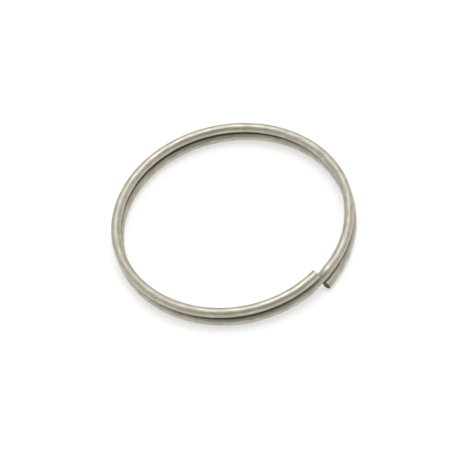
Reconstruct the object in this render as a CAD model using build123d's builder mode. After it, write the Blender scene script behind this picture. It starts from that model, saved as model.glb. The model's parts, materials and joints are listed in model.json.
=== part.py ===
"""Split key ring: one round spring wire wound in two close turns, millimetres.

The wire starts at its lower free end, climbs one full turn on the lower layer, crosses in a
short S-bend to the upper layer and runs a second full turn to its upper free end. Both ends
and the S-bend meet on +X, the split. +Z is the ring's axis, and the origin is the ring's
centre, midway between the two turns.

The wire is one piece of steel. It is divided at regular stations into stretches, each a solid
of its own, so that it can bend and twist there when an end is lifted.
"""
import os
from math import cos, degrees, radians, sin

from build123d import *

# Overall sizes
outside_diameter = 30.0
wire_diameter = 1.2
turn_gap = 0.15  # clear height between the lower and the upper turn
turn_shift = 0.22  # the upper turn lies this far behind the lower one, away from the split

# Free ends
end_setback = 0.24 * wire_diameter  # from the split line to each cut face, along the wire
end_rim_break = 0.05  # the burr rubbed off the rim of each cut face

# Divisions
stretches_per_turn = 11  # from the S-bend's own stretch to a free end
crossover_half_angle = 15.0  # degrees of the S-bend's stretch on each side of the split
flexure_gap = 0.04  # between the cut faces of neighbouring stretches

# The S-bend, in wire diameters: it makes room for the wire itself between the two free ends
bend_half_length = 1.40
bend_lead = 0.12  # how far before the split line its middle lies
side_step_half_length = 1.30
side_step = 0.32  # inwards before the crossing and outwards after it
side_step_fade = 45.0  # degrees from the split over which the side step dies away

# How the free ends spring away from the S-bend, in wire diameters, with degrees of fade
lower_end_outwards = 0.52
lower_end_down = 0.20
lower_end_fade = 55.0
upper_end_up = 0.54
upper_end_fade = 60.0

# Worked out
wire_radius = wire_diameter / 2
mean_radius = (outside_diameter - wire_diameter) / 2
turn_pitch = wire_diameter + turn_gap
setback_angle = degrees(end_setback / mean_radius)
full_turn = 360.0
wound = 2 * full_turn  # degrees of wire, from split line to split line
heading_step = 0.01  # degrees, for the wire's direction at a point
route_step = 5.0  # degrees between the points that a plain stretch is drawn through
bend_route_step = 1.5  # the same on the S-bend


def eased(share):
    """Go from 0 to 1 with level ends as share goes from 0 to 1."""
    held = min(max(share, 0.0), 1.0)
    return held * held * (3 - 2 * held)


def faded(distance, reach):
    """Fall from 1 to 0, gently at its far end, as distance goes from 0 to reach."""
    return max(1 - distance / reach, 0.0) ** 2


def step_up(turned, half_length):
    """Go from 0 to 1 across the S-bend, half_length in millimetres on each side of its middle."""
    middle = full_turn - degrees(bend_lead * wire_diameter / mean_radius)
    half_angle = degrees(half_length / mean_radius)
    return eased((turned - middle + half_angle) / (2 * half_angle))


def wire_point(turned):
    """Centre of the wire after it has wound this many degrees from the split line."""
    level = step_up(turned, bend_half_length * wire_diameter)
    side = step_up(turned, side_step_half_length * wire_diameter)
    from_lower_end = faded(turned, lower_end_fade)
    from_upper_end = faded(wound - turned, upper_end_fade)
    near_bend = max(1 - abs(turned - full_turn) / side_step_fade, 0.0) ** 1.2
    outwards = lower_end_outwards * from_lower_end + side_step * (2 * side - 1) * near_bend
    upwards = upper_end_up * from_upper_end - lower_end_down * from_lower_end
    radius = mean_radius + wire_diameter * outwards
    height = turn_pitch * (level - 0.5) + wire_diameter * upwards
    across = turn_shift * (0.5 - side)
    angle = radians(turned)
    return Vector(radius * cos(angle) + across, radius * sin(angle), height)


def wire_heading(turned):
    """Unit direction in which the wire runs there, towards its upper free end."""
    return (wire_point(turned + heading_step) - wire_point(turned - heading_step)).normalized()


def stretch_route(start, stop, step):
    """Points and end directions of the wire's centre line between two windings."""
    runs = max(round((stop - start) / step), 3)
    windings = [start + (stop - start) * run / runs for run in range(runs + 1)]
    points = [wire_point(winding) for winding in windings]
    return points, [wire_heading(start), wire_heading(stop)]


def stations():
    """Windings of the cuts between stretches, from the lower free end to the upper one."""
    lower_stop = full_turn - crossover_half_angle
    upper_start = full_turn + crossover_half_angle
    share = (lower_stop - setback_angle) / stretches_per_turn
    lower = [setback_angle + share * cut for cut in range(stretches_per_turn + 1)]
    upper = [upper_start + share * cut for cut in range(stretches_per_turn + 1)]
    return lower + upper


def stretch_names():
    """Names in the order of the wire, from the lower free end to the upper one."""
    plain = range(1, stretches_per_turn)
    lower = [f"lower_turn_stretch_{number:02d}" for number in reversed(plain)]
    upper = [f"upper_turn_stretch_{number:02d}" for number in plain]
    return ["lower_free_end"] + lower + ["crossover_bend"] + upper + ["upper_free_end"]


os.makedirs("parts", exist_ok=True)

cuts = stations()
names = stretch_names()
half_gap = degrees(flexure_gap / 2 / mean_radius)

for name, start, stop in zip(names, cuts, cuts[1:]):
    is_lower_end = name == names[0]
    is_upper_end = name == names[-1]
    first = start if is_lower_end else start + half_gap
    last = stop if is_upper_end else stop - half_gap
    step = bend_route_step if name == "crossover_bend" else route_step
    points, headings = stretch_route(first, last, step)

    with BuildPart() as stretch:
        with BuildLine() as route:
            Spline(*points, tangents=headings)
        with BuildSketch(Plane(origin=points[0], z_dir=headings[0])):
            Circle(wire_radius)
        sweep()
        if is_lower_end or is_upper_end:
            cut_centre = points[0] if is_lower_end else points[-1]
            cut_face = stretch.faces().filter_by(GeomType.PLANE).sort_by_distance(cut_centre)[0]
            chamfer(cut_face.outer_wire().edges(), end_rim_break)

    stretch.part.label = name
    export_step(stretch.part, f"parts/{name}.step")
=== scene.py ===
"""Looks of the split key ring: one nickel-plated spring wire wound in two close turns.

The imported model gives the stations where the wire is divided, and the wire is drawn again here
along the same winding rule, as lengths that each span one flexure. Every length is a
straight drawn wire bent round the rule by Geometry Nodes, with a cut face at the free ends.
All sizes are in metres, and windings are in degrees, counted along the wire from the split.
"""
import json
import logging
import math
from dataclasses import dataclass, field
from enum import Enum

import bpy
from mathutils import Matrix, Vector

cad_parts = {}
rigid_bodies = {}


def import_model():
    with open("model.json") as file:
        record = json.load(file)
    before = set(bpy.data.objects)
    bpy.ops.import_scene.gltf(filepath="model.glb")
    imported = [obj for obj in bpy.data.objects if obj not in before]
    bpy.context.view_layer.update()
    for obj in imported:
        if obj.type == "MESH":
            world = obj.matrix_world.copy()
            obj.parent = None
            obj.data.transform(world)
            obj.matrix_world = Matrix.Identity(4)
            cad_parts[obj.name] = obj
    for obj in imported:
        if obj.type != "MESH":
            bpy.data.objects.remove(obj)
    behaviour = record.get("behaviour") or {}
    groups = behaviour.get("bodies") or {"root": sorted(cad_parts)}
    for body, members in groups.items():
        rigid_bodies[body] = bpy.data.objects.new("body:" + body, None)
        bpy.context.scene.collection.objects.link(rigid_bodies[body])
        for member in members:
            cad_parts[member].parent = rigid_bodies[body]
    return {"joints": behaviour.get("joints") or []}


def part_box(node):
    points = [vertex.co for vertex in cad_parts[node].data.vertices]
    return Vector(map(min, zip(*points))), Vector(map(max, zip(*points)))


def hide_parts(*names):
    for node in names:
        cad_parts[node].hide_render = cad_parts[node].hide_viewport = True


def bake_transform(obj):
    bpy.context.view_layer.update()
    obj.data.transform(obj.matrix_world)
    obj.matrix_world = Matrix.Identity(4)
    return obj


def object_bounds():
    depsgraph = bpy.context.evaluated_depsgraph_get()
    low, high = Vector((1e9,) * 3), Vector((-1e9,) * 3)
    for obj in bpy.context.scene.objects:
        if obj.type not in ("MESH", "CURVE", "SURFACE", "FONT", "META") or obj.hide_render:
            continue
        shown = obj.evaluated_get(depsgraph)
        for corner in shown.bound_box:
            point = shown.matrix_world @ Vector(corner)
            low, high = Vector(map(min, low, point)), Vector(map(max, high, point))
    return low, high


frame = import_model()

MM = 0.001
TURN = 360.0
FULL_WINDING = 2 * TURN
CAMERA_SIDE = -90.0  # an azimuth, counted in degrees from the camera's right
CAD_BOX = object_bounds()
LOG = logging.getLogger("split_key_ring")


# Node writing ---------------------------------------------------------------------------------

class Term:
    """One socket of a node tree, written with plain arithmetic."""

    def __init__(self, board: "Board", socket: bpy.types.NodeSocket) -> None:
        """Hold a socket of a board.

        Args:
            board: The board that new nodes go on.
            socket: The output socket that this term stands for.
        """
        self.board = board
        self.socket = socket

    def math(self, operation: str, *others: "Value") -> "Term":
        """Put this term and others through one Math node.

        Args:
            operation: The Math node's operation.
            others: The node's further inputs, as terms or numbers.

        Returns:
            The node's result.
        """
        return self.board.maths(operation, self, *others)

    def __add__(self, other: "Value") -> "Term":
        """Return self + other."""
        return self.math("ADD", other)

    def __radd__(self, other: "Value") -> "Term":
        """Return other + self."""
        return self.math("ADD", other)

    def __sub__(self, other: "Value") -> "Term":
        """Return self - other."""
        return self.math("SUBTRACT", other)

    def __rsub__(self, other: "Value") -> "Term":
        """Return other - self."""
        return self.board.maths("SUBTRACT", other, self)

    def __mul__(self, other: "Value") -> "Term":
        """Return self * other."""
        return self.math("MULTIPLY", other)

    def __rmul__(self, other: "Value") -> "Term":
        """Return other * self."""
        return self.math("MULTIPLY", other)

    def __truediv__(self, other: "Value") -> "Term":
        """Return self / other."""
        return self.math("DIVIDE", other)

    def __pow__(self, other: "Value") -> "Term":
        """Return self ** other."""
        return self.math("POWER", other)


Value = Term | float | int


class Board:
    """A node tree that nodes are added to."""

    def __init__(self, tree: bpy.types.NodeTree) -> None:
        """Start on a shader or geometry tree."""
        self.tree = tree

    def node(self, kind: str, settings: dict | None = None,
             inputs: dict | None = None) -> bpy.types.Node:
        """Add a node.

        Args:
            kind: The node's type name.
            settings: Properties that are set before any socket is.
            inputs: Socket names or numbers, with the value or term that each takes.

        Returns:
            The new node.
        """
        made = self.tree.nodes.new(kind)
        for name, value in (settings or {}).items():
            setattr(made, name, value)
        for key, value in (inputs or {}).items():
            socket = made.inputs[key]
            if isinstance(value, Term):
                self.tree.links.new(value.socket, socket)
            else:
                socket.default_value = value
        return made

    def term(self, node: bpy.types.Node, output: str | int = 0) -> Term:
        """Return one output of a node as a term."""
        return Term(self, node.outputs[output])

    def maths(self, operation: str, *values: Value) -> Term:
        """Add a Math node.

        Args:
            operation: The node's operation.
            values: Its inputs in order, as terms or numbers.

        Returns:
            The node's result.
        """
        made = self.node("ShaderNodeMath", {"operation": operation}, dict(enumerate(values)))
        return self.term(made)

    def vector(self, x: Value, y: Value, z: Value) -> Term:
        """Return a vector term made of three values."""
        return self.term(self.node("ShaderNodeCombineXYZ", None, {"X": x, "Y": y, "Z": z}))

    def vector_maths(self, operation: str, first: Term, second: Term | None = None,
                     scale: Value | None = None, output: str = "Vector") -> Term:
        """Add a Vector Math node.

        Args:
            operation: The node's operation.
            first: Its first vector.
            second: Its second vector, if the operation takes one.
            scale: The factor of a SCALE node.
            output: The name of the socket that is wanted.

        Returns:
            The node's result.
        """
        inputs = {0: first}
        if second is not None:
            inputs[1] = second
        if scale is not None:
            inputs["Scale"] = scale
        made = self.node("ShaderNodeVectorMath", {"operation": operation}, inputs)
        return self.term(made, output)

    def mix_colour(self, share: Value, first: tuple | Term, second: tuple | Term) -> Term:
        """Mix two colours.

        Args:
            share: 0 for the first colour and 1 for the second.
            first: A colour of four numbers, or a term.
            second: The same.

        Returns:
            The mixed colour.
        """
        made = self.node("ShaderNodeMix", {"data_type": "RGBA"}, {0: share, 6: first, 7: second})
        return self.term(made, 2)

    def ramp(self, value: Value, low: float, high: float, to_low: float = 0.0,
             to_high: float = 1.0) -> Term:
        """Map a value from one range to another, held at both ends.

        Args:
            value: What is mapped.
            low: Where the old range starts.
            high: Where it ends.
            to_low: What low becomes.
            to_high: What high becomes.

        Returns:
            The mapped value.
        """
        inputs = {"Value": value, 1: low, 2: high, 3: to_low, 4: to_high}
        made = self.node("ShaderNodeMapRange", {"interpolation_type": "SMOOTHSTEP"}, inputs)
        return self.term(made)

    def noise(self, at: Term, scale: float, detail: float, roughness: float) -> Term:
        """Return fractal noise, 0 to 1, read at a vector."""
        inputs = {"Vector": at, "Scale": scale, "Detail": detail, "Roughness": roughness}
        return self.term(self.node("ShaderNodeTexNoise", None, inputs))


# The winding rule -----------------------------------------------------------------------------

def cosine(degrees: Value) -> Value:
    """Return the cosine of an angle in degrees, as a number or a term."""
    if isinstance(degrees, Term):
        return (degrees * (math.pi / 180)).math("COSINE")
    return math.cos(math.radians(degrees))


def sine(degrees: Value) -> Value:
    """Return the sine of an angle in degrees, as a number or a term."""
    if isinstance(degrees, Term):
        return (degrees * (math.pi / 180)).math("SINE")
    return math.sin(math.radians(degrees))


def held(share: Value) -> Value:
    """Return a value held between 0 and 1, as a number or a term."""
    if isinstance(share, Term):
        return share.math("MAXIMUM", 0.0).math("MINIMUM", 1.0)
    return min(max(share, 0.0), 1.0)


def size_of(amount: Value) -> Value:
    """Return the absolute value, as a number or a term."""
    return amount.math("ABSOLUTE") if isinstance(amount, Term) else abs(amount)


def eased(share: Value) -> Value:
    """Go from 0 to 1 with level ends as share goes from 0 to 1."""
    inside = held(share)
    return inside * inside * (3 - 2 * inside)


def faded(distance: Value, reach: float) -> Value:
    """Fall from 1 to 0, gently at its far end, as distance goes from 0 to reach."""
    left = held(1 - distance / reach)
    return left * left


@dataclass(frozen=True)
class Winding:
    """How the wire is wound.

    The first four sizes are in metres and the fades in degrees. The others are in wire
    diameters, but for the power, which shapes the fade of the side step.
    """

    mean_radius: float
    wire_diameter: float
    turn_pitch: float
    turn_shift: float
    bend_half_length: float = 1.40
    bend_lead: float = 0.12
    side_step_half_length: float = 1.30
    side_step: float = 0.32
    side_step_fade: float = 45.0
    side_step_power: float = 1.2
    lower_end_outwards: float = 0.52
    lower_end_down: float = 0.20
    lower_end_fade: float = 55.0
    upper_end_up: float = 0.54
    upper_end_fade: float = 60.0

    @classmethod
    def of_frame(cls) -> "Winding":
        """Read the winding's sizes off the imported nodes.

        Returns:
            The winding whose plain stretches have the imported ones' boxes.
        """
        lower_low, lower_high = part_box("lower_turn_stretch_06")
        upper_low, upper_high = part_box("upper_turn_stretch_06")
        wire = lower_high.z - lower_low.z
        lower_back, upper_back = lower_low.x, upper_low.x
        return cls(mean_radius=-(lower_back + upper_back) / 2 - wire / 2,
                   wire_diameter=wire,
                   turn_pitch=upper_low.z - lower_low.z,
                   turn_shift=lower_back - upper_back)

    def angle_of(self, length: float) -> float:
        """Return the winding, in degrees, of a length along the wire."""
        return math.degrees(length / self.mean_radius)

    def step_up(self, turned: Value, half_length: float) -> Value:
        """Go from 0 to 1 across the S-bend.

        Args:
            turned: The winding.
            half_length: The step's half length, in wire diameters.

        Returns:
            The share of the step made there.
        """
        middle = TURN - self.angle_of(self.bend_lead * self.wire_diameter)
        half_angle = self.angle_of(half_length * self.wire_diameter)
        return eased((turned - (middle - half_angle)) / (2 * half_angle))

    def centre(self, turned: Value) -> tuple[Value, Value, Value]:
        """Give the centre of the wire.

        Args:
            turned: The winding, as a number or a term.

        Returns:
            Its three coordinates, of the same kind as the winding.
        """
        level = self.step_up(turned, self.bend_half_length)
        side = self.step_up(turned, self.side_step_half_length)
        from_lower_end = faded(turned, self.lower_end_fade)
        from_upper_end = faded(FULL_WINDING - turned, self.upper_end_fade)
        near_bend = held(1 - size_of(turned - TURN) / self.side_step_fade) ** self.side_step_power
        outwards = self.lower_end_outwards * from_lower_end
        outwards = outwards + self.side_step * (2 * side - 1) * near_bend
        upwards = self.upper_end_up * from_upper_end - self.lower_end_down * from_lower_end
        radius = self.mean_radius + self.wire_diameter * outwards
        height = self.turn_pitch * (level - 0.5) + self.wire_diameter * upwards
        across = self.turn_shift * (0.5 - side)
        return radius * cosine(turned) + across, radius * sine(turned), height

    def point(self, turned: float) -> Vector:
        """Return the centre of the wire at a winding as a vector."""
        return Vector(self.centre(turned))


# The wire's geometry --------------------------------------------------------------------------

class FreeEnd(Enum):
    """Which end of a length of wire is cut free."""

    NONE = 0
    START = 1
    STOP = 2


class WireTree:
    """Geometry Nodes that bend a straight drawn wire round the winding rule."""

    HEADING_STEP = 0.02  # degrees on each side of a point, for the wire's direction there
    RIM_RINGS = 8
    CORNER = 1.0  # radians between faces, past which an edge is drawn sharp
    TINY = 1e-6  # keeps a rim's share of nothing from being divided by
    TEAR_SCALE = 9000.0
    TEAR_DETAIL = 3.0
    TEAR_ROUGHNESS = 0.6
    TEAR_SHARE = 1.2
    LIP_SHARE = 0.6
    LIP_FROM = -0.35
    LIP_TO = 0.75
    PATTERN = "wire_pattern"  # millimetres along the wire, then wire radii across and up
    SIZES = {"Start": 0.0, "Stop": 30.0, "Wire Radius": 0.6 * MM, "Rim Break": 0.05 * MM,
             "Start Rim Share": 0.0, "Stop Rim Share": 0.0, "Shear Depth": 0.0}
    COUNTS = {"Rings": 60, "Sides": 48, "Cap Rings": 8}

    def __init__(self, winding: Winding) -> None:
        """Write the tree.

        Args:
            winding: The rule that the wire follows.
        """
        self.winding = winding
        self.rule = self.write_rule()
        self.tree = bpy.data.node_groups.new("bent_wire", "GeometryNodeTree")
        self.sockets: dict[str, str] = {}
        self.write_tree()

    def write_rule(self) -> bpy.types.NodeTree:
        """Write the winding rule as a group.

        Returns:
            A group that takes a winding and gives the wire's centre there.
        """
        tree = bpy.data.node_groups.new("winding_rule", "GeometryNodeTree")
        tree.interface.new_socket("Winding", in_out="INPUT", socket_type="NodeSocketFloat")
        tree.interface.new_socket("Centre", in_out="OUTPUT", socket_type="NodeSocketVector")
        board = Board(tree)
        turned = board.term(board.node("NodeGroupInput"), "Winding")
        centre = board.vector(*self.winding.centre(turned))
        board.node("NodeGroupOutput", None, {"Centre": centre})
        return tree

    def centre_at(self, board: Board, turned: Term) -> Term:
        """Return the wire's centre at a winding, through the rule's group."""
        group = board.node("GeometryNodeGroup", {"node_tree": self.rule}, {"Winding": turned})
        return board.term(group, "Centre")

    def write_inputs(self) -> None:
        """Give the tree its named inputs, and keep each one's identifier."""
        face = self.tree.interface
        face.new_socket("Geometry", in_out="OUTPUT", socket_type="NodeSocketGeometry")
        for name, value in self.SIZES.items():
            socket = face.new_socket(name, in_out="INPUT", socket_type="NodeSocketFloat")
            socket.default_value = value
            self.sockets[name] = socket.identifier
        for name, value in self.COUNTS.items():
            socket = face.new_socket(name, in_out="INPUT", socket_type="NodeSocketInt")
            socket.default_value = value
            self.sockets[name] = socket.identifier
        for name in ("Wire Finish", "Cut Finish"):
            socket = face.new_socket(name, in_out="INPUT", socket_type="NodeSocketMaterial")
            self.sockets[name] = socket.identifier

    def write_tree(self) -> None:
        """Write the nodes: a cylinder, each of whose rings is moved on to the rule."""
        self.write_inputs()
        board = Board(self.tree)
        source = board.node("NodeGroupInput")
        given = {name: board.term(source, name) for name in self.sockets}
        cylinder = board.node("GeometryNodeMeshCylinder", {"fill_type": "TRIANGLE_FAN"},
                              {"Vertices": given["Sides"], "Side Segments": given["Rings"],
                               "Fill Segments": given["Cap Rings"], "Radius": 1.0, "Depth": 1.0})
        split = board.node("ShaderNodeSeparateXYZ", None,
                           {0: board.term(board.node("GeometryNodeInputPosition"))})
        x, y, z = (board.term(split, axis) for axis in ("X", "Y", "Z"))
        from_axis = (x * x + y * y).math("SQRT")
        around = y.math("ARCTAN2", x)
        across, upright = around.math("COSINE") * from_axis, around.math("SINE") * from_axis

        turned, radius = self.round_rims(given, z + 0.5)
        heading, side, rise = self.directions_at(board, turned)
        sideways = board.vector_maths("SCALE", side, scale=radius * across)
        upwards = board.vector_maths("SCALE", rise, scale=radius * upright)
        placed = board.vector_maths("ADD", self.centre_at(board, turned),
                                    board.vector_maths("ADD", sideways, upwards))
        shear = self.shear_at(board, given, placed, from_axis, upright)
        placed = board.vector_maths("ADD", placed,
                                    board.vector_maths("SCALE", heading, scale=shear))

        pattern = board.vector(turned * (math.radians(1.0) * self.winding.mean_radius / MM),
                               across, upright)
        mesh = board.term(board.node("GeometryNodeStoreNamedAttribute",
                                     {"data_type": "FLOAT_VECTOR", "domain": "POINT"},
                                     {"Geometry": board.term(cylinder, "Mesh"),
                                      "Name": self.PATTERN, "Value": pattern}))
        mesh = board.term(board.node("GeometryNodeSetPosition", None,
                                     {"Geometry": mesh, "Position": placed}))
        self.write_finish(board, given, mesh, board.term(cylinder, "Side"))

    def round_rims(self, given: dict[str, Term], share: Term) -> tuple[Term, Term]:
        """Lay the rings along the wire, the last few on a round rim where the wire is cut free.

        Args:
            given: The tree's inputs.
            share: How far along the cylinder a point is, 0 to 1.

        Returns:
            The winding of the point's ring, and the ring's radius.
        """
        quarter = math.pi / 2
        rim_angle = self.winding.angle_of(1.0) * given["Rim Break"]
        start_share, stop_share = given["Start Rim Share"], given["Stop Rim Share"]
        has_start = start_share.math("GREATER_THAN", 0.0)
        has_stop = stop_share.math("GREATER_THAN", 0.0)
        start_rim = has_start * held(1 - share / start_share.math("MAXIMUM", self.TINY))
        stop_rim = has_stop * held(1 - (1 - share) / stop_share.math("MAXIMUM", self.TINY))
        along = held((share - start_share) / (1 - start_share - stop_share))
        first = given["Start"] + rim_angle * has_start
        last = given["Stop"] - rim_angle * has_stop
        turned = first + (last - first) * along
        turned = turned - rim_angle * (start_rim * quarter).math("SINE")
        turned = turned + rim_angle * (stop_rim * quarter).math("SINE")
        tucked = 2 - (start_rim * quarter).math("COSINE") - (stop_rim * quarter).math("COSINE")
        return turned, given["Wire Radius"] - given["Rim Break"] * tucked

    def directions_at(self, board: Board, turned: Term) -> tuple[Term, Term, Term]:
        """Find the wire's own directions.

        Args:
            board: The tree's board.
            turned: The winding.

        Returns:
            The unit vectors along the wire, sideways from it and upwards from it.
        """
        ahead = self.centre_at(board, turned + self.HEADING_STEP)
        behind = self.centre_at(board, turned - self.HEADING_STEP)
        heading = board.vector_maths("NORMALIZE", board.vector_maths("SUBTRACT", ahead, behind))
        side = board.vector_maths("CROSS_PRODUCT", heading, board.vector(0.0, 0.0, 1.0))
        side = board.vector_maths("NORMALIZE", side)
        return heading, side, board.vector_maths("CROSS_PRODUCT", side, heading)

    def shear_at(self, board: Board, given: dict[str, Term], placed: Term, from_axis: Term,
                 upright: Term) -> Term:
        """Say how far a cut face stands out along the wire, torn and with a lip at the top.

        Args:
            board: The tree's board.
            given: The tree's inputs.
            placed: Where the point is.
            from_axis: How far it is from the wire's centre, 0 to 1.
            upright: How high it is on the face, -1 to 1.

        Returns:
            The shift along the wire's heading.
        """
        torn = board.noise(placed, self.TEAR_SCALE, self.TEAR_DETAIL, self.TEAR_ROUGHNESS) - 0.5
        lip = board.ramp(upright, self.LIP_FROM, self.LIP_TO, -1.0, 1.0)
        relief = torn * self.TEAR_SHARE + lip * self.LIP_SHARE
        outwards = (given["Stop Rim Share"].math("GREATER_THAN", 0.0)
                    - given["Start Rim Share"].math("GREATER_THAN", 0.0))
        return given["Shear Depth"] * (1 - from_axis * from_axis) * relief * outwards

    def write_finish(self, board: Board, given: dict[str, Term], mesh: Term,
                     is_side: Term) -> None:
        """Write the last nodes: the shading, the real mesh and its materials.

        Args:
            board: The tree's board.
            given: The tree's inputs.
            mesh: The bent wire.
            is_side: Where the mesh is the wire's drawn surface.
        """
        mesh = board.term(board.node("GeometryNodeSetShadeSmooth", {"domain": "FACE"},
                                     {"Geometry": mesh, "Shade Smooth": True}))
        corner = board.term(board.node("GeometryNodeInputMeshEdgeAngle"), "Unsigned Angle")
        mesh = board.term(board.node("GeometryNodeSetShadeSmooth", {"domain": "EDGE"},
                                     {"Geometry": mesh, "Shade Smooth": False,
                                      "Selection": corner.math("GREATER_THAN", self.CORNER)}))
        ends = board.node("FunctionNodeBooleanMath", {"operation": "NOT"}, {0: is_side})
        mesh = board.term(board.node("GeometryNodeRealizeInstances", None, {"Geometry": mesh}))
        mesh = board.term(board.node("GeometryNodeSetMaterial", None,
                                     {"Geometry": mesh, "Material": given["Wire Finish"]}))
        mesh = board.term(board.node("GeometryNodeSetMaterial", None,
                                     {"Geometry": mesh, "Selection": board.term(ends),
                                      "Material": given["Cut Finish"]}))
        board.node("NodeGroupOutput", None, {"Geometry": mesh})

    def bake(self, name: str, values: dict) -> bpy.types.Object:
        """Run the tree once and keep its result as a plain mesh.

        Args:
            name: The piece's name.
            values: The tree's inputs by name.

        Returns:
            The piece, in place, with no modifier.
        """
        host = bpy.data.objects.new(name + "_host", bpy.data.meshes.new(name + "_host"))
        bpy.context.scene.collection.objects.link(host)
        modifier = host.modifiers.new("wire", "NODES")
        modifier.node_group = self.tree
        for label, value in values.items():
            modifier[self.sockets[label]] = value
        seen = bpy.context.evaluated_depsgraph_get()
        mesh = bpy.data.meshes.new_from_object(host.evaluated_get(seen))
        mesh.name = name
        bpy.data.objects.remove(host)
        piece = bpy.data.objects.new(name, mesh)
        bpy.context.scene.collection.objects.link(piece)
        return piece


# Finishes -------------------------------------------------------------------------------------

def new_material(name: str) -> tuple[bpy.types.Material, Board, bpy.types.Node]:
    """Make an empty node material.

    Args:
        name: The material's name.

    Returns:
        The material, its board and its Principled shader.
    """
    material = bpy.data.materials.new(name)
    material.use_nodes = True
    material.node_tree.nodes.clear()
    board = Board(material.node_tree)
    shader = board.node("ShaderNodeBsdfPrincipled")
    board.node("ShaderNodeOutputMaterial", None, {"Surface": board.term(shader, "BSDF")})
    return material, board, shader


@dataclass(frozen=True)
class Grain:
    """Fractal noise along and round the wire, drawn out lengthways where stretch is small."""

    stretch: float
    scale: float
    detail: float
    roughness: float

    def read(self, board: Board, pattern: Term) -> Term:
        """Return the noise, 0 to 1, at the places of a pattern."""
        place = board.vector_maths("MULTIPLY", pattern, board.vector(self.stretch, 1.0, 1.0))
        return board.noise(place, self.scale, self.detail, self.roughness)


@dataclass(frozen=True)
class SatinNickel:
    """Nickel plate over drawn spring wire: satin, warm grey, with faint drawing lines and painted
    shade in the groove between the turns.

    Depths and lengths are in millimetres. Ranges are where an effect starts and where it is
    full, and covers are how much of the colour below it hides.
    """

    length_of_turn: float
    light: tuple = (0.58, 0.548, 0.462, 1.0)
    dull: tuple = (0.48, 0.452, 0.368, 1.0)
    scored: tuple = (0.29, 0.27, 0.215, 1.0)
    # painted shade: a dark colour laid in the groove between the two turns
    groove_shade: tuple = (0.10, 0.085, 0.055, 1.0)
    lines: Grain = Grain(stretch=0.05, scale=14.0, detail=4.0, roughness=0.65)
    patches: Grain = Grain(stretch=0.55, scale=1.3, detail=3.0, roughness=0.55)
    pits: Grain = Grain(stretch=1.6, scale=9.0, detail=2.0, roughness=0.5)
    dull_range: tuple = (0.38, 0.62)
    scored_range: tuple = (0.48, 0.68)
    scored_cover: float = 0.4
    # the painted groove shade: where it lies round the wire, how much it hides, and how it fades
    # near the free ends
    groove_shade_range: tuple = (0.70, 1.0)
    groove_shade_cover: float = 0.68
    groove_shade_at_ends: float = 0.15
    shade_fade_length: tuple = (1.0, 9.0)
    roughness: float = 0.48
    line_roughness: float = 0.10
    patch_roughness: float = 0.14
    line_depth: float = 0.02
    line_strength: float = 0.35
    mottle_depth: float = 0.035
    mottle_strength: float = 0.5
    pit_share: float = 0.35

    def build(self) -> bpy.types.Material:
        """Make the material.

        Returns:
            The finish of the drawn wire.
        """
        material, board, shader = new_material("satin_nickel")
        attribute = board.node("ShaderNodeAttribute", {"attribute_name": WireTree.PATTERN})
        pattern = board.term(attribute, "Vector")
        lines, patches, pits = (grain.read(board, pattern)
                                for grain in (self.lines, self.patches, self.pits))
        colour = board.mix_colour(board.ramp(patches, *self.dull_range), self.light, self.dull)
        score = self.scored_cover * board.ramp(lines, *self.scored_range)
        colour = board.mix_colour(score, colour, self.scored)
        # painted shade darkens the wire where the two turns face each other
        groove_shade_share = self.groove_shade_cover * self.painted_groove_shade(board, pattern)
        colour = board.mix_colour(groove_shade_share, colour, self.groove_shade)
        rough = self.roughness + (lines - 0.5) * self.line_roughness
        rough = rough + (patches - 0.5) * self.patch_roughness
        fine = board.node("ShaderNodeBump", None,
                          {"Strength": self.line_strength, "Distance": self.line_depth * MM,
                           "Height": lines})
        relief = pits * self.pit_share + patches * (1 - self.pit_share)
        soft = board.node("ShaderNodeBump", None,
                          {"Strength": self.mottle_strength, "Distance": self.mottle_depth * MM,
                           "Height": relief, "Normal": board.term(fine)})
        board.tree.links.new(colour.socket, shader.inputs["Base Color"])
        board.tree.links.new(rough.socket, shader.inputs["Roughness"])
        board.tree.links.new(soft.outputs[0], shader.inputs["Normal"])
        shader.inputs["Metallic"].default_value = 1.0
        return material

    def painted_groove_shade(self, board: Board, pattern: Term) -> Term:
        """Find the side of the wire that faces the other turn, where shade is painted into the
        groove.

        Args:
            board: The material's board.
            pattern: The place along and round the wire.

        Returns:
            1 where the turns face each other, falling to 0 round the wire and less at its ends.
        """
        split = board.node("ShaderNodeSeparateXYZ", None, {0: pattern})
        along, upright = board.term(split, "X"), board.term(split, "Z")
        is_lower = along.math("LESS_THAN", self.length_of_turn)
        facing = board.ramp(upright * (2 * is_lower - 1), *self.groove_shade_range)
        from_end = along.math("MINIMUM", 2 * self.length_of_turn - along)
        return facing * board.ramp(from_end, *self.shade_fade_length, self.groove_shade_at_ends)


@dataclass(frozen=True)
class ShearedSteel:
    """Bare steel where the wire was cut: rough, darker and torn across."""

    bright: tuple = (0.30, 0.28, 0.24, 1.0)
    dark: tuple = (0.07, 0.06, 0.045, 1.0)
    grain_scale: float = 12000.0
    grain_detail: float = 3.0
    grain_roughness: float = 0.6
    bright_range: tuple = (0.45, 0.75)
    roughness: float = 0.42
    rougher: float = 0.25
    bump_strength: float = 0.6
    bump_depth: float = 0.02 * MM

    def build(self) -> bpy.types.Material:
        """Make the material.

        Returns:
            The finish of the cut faces.
        """
        material, board, shader = new_material("sheared_steel")
        place = board.term(board.node("ShaderNodeTexCoord"), "Object")
        grain = board.noise(place, self.grain_scale, self.grain_detail, self.grain_roughness)
        colour = board.mix_colour(board.ramp(grain, *self.bright_range), self.dark, self.bright)
        bump = board.node("ShaderNodeBump", None,
                          {"Strength": self.bump_strength, "Distance": self.bump_depth,
                           "Height": grain})
        rough = self.roughness + grain * self.rougher
        board.tree.links.new(colour.socket, shader.inputs["Base Color"])
        board.tree.links.new(rough.socket, shader.inputs["Roughness"])
        board.tree.links.new(bump.outputs[0], shader.inputs["Normal"])
        shader.inputs["Metallic"].default_value = 1.0
        return material


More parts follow.
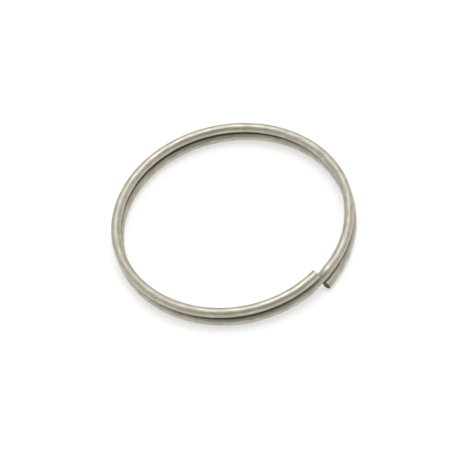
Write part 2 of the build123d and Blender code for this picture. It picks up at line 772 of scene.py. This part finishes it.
@dataclass(frozen=True)
class PaleFloor:
    """A translucent white table that is lit from below too."""

    colour: tuple = (0.56, 0.56, 0.56, 1.0)
    glow_colour: tuple = (1.0, 1.0, 1.0, 1.0)
    lit_from_below: float = 0.5
    roughness: float = 0.9
    gloss: float = 0.2

    def build(self) -> bpy.types.Material:
        """Make the material.

        Returns:
            The floor's finish.
        """
        material, _, shader = new_material("pale_floor")
        shader.inputs["Base Color"].default_value = self.colour
        shader.inputs["Roughness"].default_value = self.roughness
        shader.inputs["Specular IOR Level"].default_value = self.gloss
        shader.inputs["Emission Color"].default_value = self.glow_colour
        shader.inputs["Emission Strength"].default_value = self.lit_from_below
        return material


# The wire -------------------------------------------------------------------------------------

@dataclass
class KeyRingWire:
    """The one wire of the ring, as lengths that each span one flexure.

    The setback is in wire diameters, the rim break and the shear depth are in metres, and the
    ring steps and the length kept clear of bending beside the split are in degrees.
    """

    winding: Winding
    end_setback: float = 0.24
    rim_break: float = 0.05 * MM
    shear_depth: float = 0.035 * MM
    ring_step: float = 0.6
    bend_ring_step: float = 0.3
    bend_clear: float = 7.5
    sides: int = 56
    cap_rings: int = 8
    slot_name: str = "spring_wire"
    pieces: list = field(default_factory=list)

    def bodies_in_order(self) -> list[str]:
        """Return the bodies from the lower free end to the upper one."""
        joints = frame["joints"]
        lower = [j for j in joints if j["name"].startswith("lower")]
        upper = [j for j in joints if j["name"].startswith("upper")]
        bend = upper[0]["parent"]
        return [j["child"] for j in reversed(lower)] + [bend] + [j["child"] for j in upper]

    def winding_of(self, joint: dict) -> float:
        """Work out where on the wire a joint lies.

        Args:
            joint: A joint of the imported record.

        Returns:
            Its winding in degrees.
        """
        upper = joint["name"].startswith("upper")
        across = self.winding.turn_shift * (-0.5 if upper else 0.5)
        x, y, _ = joint["pos_m"]
        turned = math.degrees(math.atan2(y, x - across)) % TURN
        return turned + TURN if upper else turned

    def cuts(self) -> list[float]:
        """Return the windings of both cut faces and every joint, in order along the wire."""
        setback = self.winding.angle_of(self.end_setback * self.winding.wire_diameter)
        inner = sorted(self.winding_of(j) for j in frame["joints"])
        return [setback] + inner + [FULL_WINDING - setback]

    def build(self, wire_finish: bpy.types.Material, cut_finish: bpy.types.Material) -> None:
        """Make every length of the wire, and hide the imported parts that it stands for.

        Args:
            wire_finish: The material of the drawn surface.
            cut_finish: The material of the cut faces.
        """
        tree = WireTree(self.winding)
        bodies, cuts = self.bodies_in_order(), self.cuts()
        middles = [(a + b) / 2 for a, b in zip(cuts, cuts[1:])]
        last = len(bodies) - 2
        for number in range(last + 1):
            before, after = bodies[number], bodies[number + 1]
            start, stop = middles[number], middles[number + 1]
            name, free = f"wire_{before}_to_{after}", FreeEnd.NONE
            if number == 0:
                start, name, free = cuts[0], "wire_" + before, FreeEnd.START
            elif number == last:
                stop, name, free = cuts[-1], "wire_" + after, FreeEnd.STOP
            piece = self.bake_length(tree, name, start, stop, free, wire_finish, cut_finish)
            joint_at = cuts[number + 1]
            reach = self.bend_reach(joint_at, middles[number], middles[number + 1])
            self.winding.point(joint_at - reach)
            self.winding.point(joint_at + reach)
            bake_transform(piece)
            stands_for = [before] if free is not FreeEnd.STOP else [before, after]
            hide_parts(*stands_for)
            self.pieces.append(piece)
            faces = len(piece.data.polygons)
            LOG.info("%s: winding %.1f to %.1f, %d faces", name, start, stop, faces)

    def bend_reach(self, joint_at: float, before: float, after: float) -> float:
        """Say how far from a joint the wire bends, so that the S-bend stays as it is formed.

        Args:
            joint_at: The joint's winding.
            before: The middle of the stretch before it.
            after: The middle of the stretch after it.

        Returns:
            The reach in degrees on each side of the joint.
        """
        reach = min(joint_at - before, after - joint_at)
        return min(reach, abs(joint_at - TURN) - self.bend_clear)

    def bake_length(self, tree: WireTree, name: str, start: float, stop: float,
                    free: FreeEnd, wire_finish: bpy.types.Material,
                    cut_finish: bpy.types.Material) -> bpy.types.Object:
        """Make one length of wire.

        Args:
            tree: The nodes that bend it.
            name: The piece's name.
            start: Its first winding.
            stop: Its last winding.
            free: Which of its ends is cut free.
            wire_finish: The material of the drawn surface.
            cut_finish: The material of its ends.

        Returns:
            The piece as a plain mesh.
        """
        near_bend = start < TURN + self.bend_clear and stop > TURN - self.bend_clear
        step = self.bend_ring_step if near_bend else self.ring_step
        rings = round((stop - start) / step)
        rim_share = WireTree.RIM_RINGS / (rings + WireTree.RIM_RINGS)
        if free is not FreeEnd.NONE:
            rings += WireTree.RIM_RINGS
        return tree.bake(name, {
            "Start": start, "Stop": stop,
            "Wire Radius": self.winding.wire_diameter / 2,
            "Rim Break": self.rim_break,
            "Start Rim Share": rim_share if free is FreeEnd.START else 0.0,
            "Stop Rim Share": rim_share if free is FreeEnd.STOP else 0.0,
            "Shear Depth": 0.0 if free is FreeEnd.NONE else self.shear_depth,
            "Rings": rings, "Sides": self.sides, "Cap Rings": self.cap_rings,
            "Wire Finish": wire_finish, "Cut Finish": cut_finish})


# The stage ------------------------------------------------------------------------------------

@dataclass(frozen=True)
class SoftLight:
    """One soft studio light, placed round the ring as the camera sees it."""

    name: str
    azimuth: float
    elevation: float
    distance: float
    width: float
    height: float
    power: float
    colour: tuple = (1.0, 1.0, 1.0)


@dataclass
class Studio:
    """The camera, the table and the lights.

    Angles are in degrees and sizes in metres, and the sensor and the lens in millimetres.
    """

    azimuth: float = 53.5
    elevation: float = 51.3
    roll: float = 12.2
    distance: float = 245.5 * MM
    nearest: float = 2.455 * MM
    furthest: float = 100.0
    lens: float = 157.2
    sensor: float = 36.0
    aside: float = 0.506 * MM
    above: float = 1.012 * MM
    floor_size: float = 4.0
    horizon_light: float = 0.92
    zenith_light: float = 1.05
    shade: float = 0.66
    shade_elevation: float = 30.0
    shade_sharpness: float = 2.0
    glow: float = 2.0
    glow_azimuth: float = 62.0
    glow_elevation: float = 80.0
    glow_sharpness: float = 14.0
    lights: tuple = (
        SoftLight("back_softbox", azimuth=62.0, elevation=76.0, distance=0.8,
                  width=0.28, height=0.28, power=1.3),
    )

    def direction(self, azimuth: float, elevation: float) -> Vector:
        """Give a direction from the ring.

        Args:
            azimuth: Degrees counter-clockwise from the camera's right, seen from above.
            elevation: Degrees above the table.

        Returns:
            The unit vector in the row frame.
        """
        turned, level = azimuth + self.azimuth, cosine(elevation)
        return Vector((cosine(turned) * level, sine(turned) * level, sine(elevation)))

    def add_camera(self) -> None:
        """Put the camera where the ring is seen from above the table, a little rolled."""
        back = self.direction(CAMERA_SIDE, self.elevation)
        level = back.to_track_quat("Z", "Y").to_matrix()
        turn = level @ Matrix.Rotation(math.radians(-self.roll), 3, "Z")
        data = bpy.data.cameras.new("camera")
        data.lens = self.lens
        data.sensor_width = self.sensor
        data.clip_start, data.clip_end = self.nearest, self.furthest
        camera = bpy.data.objects.new("camera", data)
        bpy.context.scene.collection.objects.link(camera)
        place = back * self.distance - turn @ Vector((self.aside, self.above, 0.0))
        camera.matrix_world = Matrix.Translation(place) @ turn.to_4x4()
        bpy.context.scene.camera = camera

    def add_floor(self, height: float) -> None:
        """Lay the table under the ring.

        Args:
            height: The table's height.
        """
        half = self.floor_size / 2
        mesh = bpy.data.meshes.new("floor")
        corners = [(-half, -half), (half, -half), (half, half), (-half, half)]
        mesh.from_pydata([(x, y, height) for x, y in corners], [], [range(4)])
        mesh.materials.append(PaleFloor().build())
        floor = bpy.data.objects.new("floor", mesh)
        bpy.context.scene.collection.objects.link(floor)

    def add_lights(self) -> None:
        """Hang the soft lights and set the light of the room."""
        for light in self.lights:
            data = bpy.data.lights.new(light.name, "AREA")
            data.shape = "RECTANGLE"
            data.size, data.size_y = light.width, light.height
            data.energy, data.color = light.power, light.colour
            lamp = bpy.data.objects.new(light.name, data)
            bpy.context.scene.collection.objects.link(lamp)
            towards = self.direction(light.azimuth, light.elevation)
            lamp.location = towards * light.distance
            lamp.rotation_mode = "QUATERNION"
            lamp.rotation_quaternion = towards.to_track_quat("Z", "Y")
        bpy.context.scene.world = self.room()

    def room(self) -> bpy.types.World:
        """Make the room's light: dim where the camera stands, and brightest overhead and behind.

        Returns:
            The world.
        """
        world = bpy.data.worlds.new("room")
        world.use_nodes = True
        world.node_tree.nodes.clear()
        board = Board(world.node_tree)
        towards = board.term(board.node("ShaderNodeTexCoord"), "Generated")
        height = board.vector_maths("DOT_PRODUCT", towards, board.vector(0.0, 0.0, 1.0),
                                    output="Value")
        even = self.horizon_light + (self.zenith_light - self.horizon_light) * held(height)
        glow = self.lobe(board, towards, self.glow_azimuth, self.glow_elevation,
                         self.glow_sharpness)
        shade = self.lobe(board, towards, CAMERA_SIDE, self.shade_elevation,
                          self.shade_sharpness)
        strength = even + self.glow * glow - self.shade * shade
        sky = board.node("ShaderNodeBackground", None, {"Strength": strength})
        board.node("ShaderNodeOutputWorld", None, {"Surface": board.term(sky)})
        return world

    def lobe(self, board: Board, towards: Term, azimuth: float, elevation: float,
             sharpness: float) -> Term:
        """Give a round patch of the sky, 1 at its middle and 0 a quarter turn away.

        Args:
            board: The world's board.
            towards: The direction that is looked in.
            azimuth: Where the patch's middle is, as the camera sees it.
            elevation: Its height in degrees.
            sharpness: The power that narrows it.

        Returns:
            The patch's strength in that direction.
        """
        middle = board.vector(*self.direction(azimuth, elevation))
        facing = board.vector_maths("DOT_PRODUCT", towards, middle, output="Value")
        return facing.math("MAXIMUM", 0.0) ** sharpness

    def build(self, floor_height: float) -> None:
        """Set the stage.

        Args:
            floor_height: The height of the table under the ring.
        """
        bpy.context.scene.view_settings.view_transform = "Standard"
        self.add_camera()
        self.add_floor(floor_height)
        self.add_lights()


def main() -> None:
    """Build the ring and its stage, and report each piece."""
    logging.basicConfig(level=logging.INFO, format="%(name)s: %(message)s")
    winding = Winding.of_frame()
    LOG.info("winding: %s", winding)
    Studio().build(CAD_BOX[0].z)
    wire = KeyRingWire(winding)
    wire.build(SatinNickel(math.tau * winding.mean_radius / MM).build(), ShearedSteel().build())
    LOG.info("%d pieces of wire", len(wire.pieces))


if __name__ == "__main__":
    main()
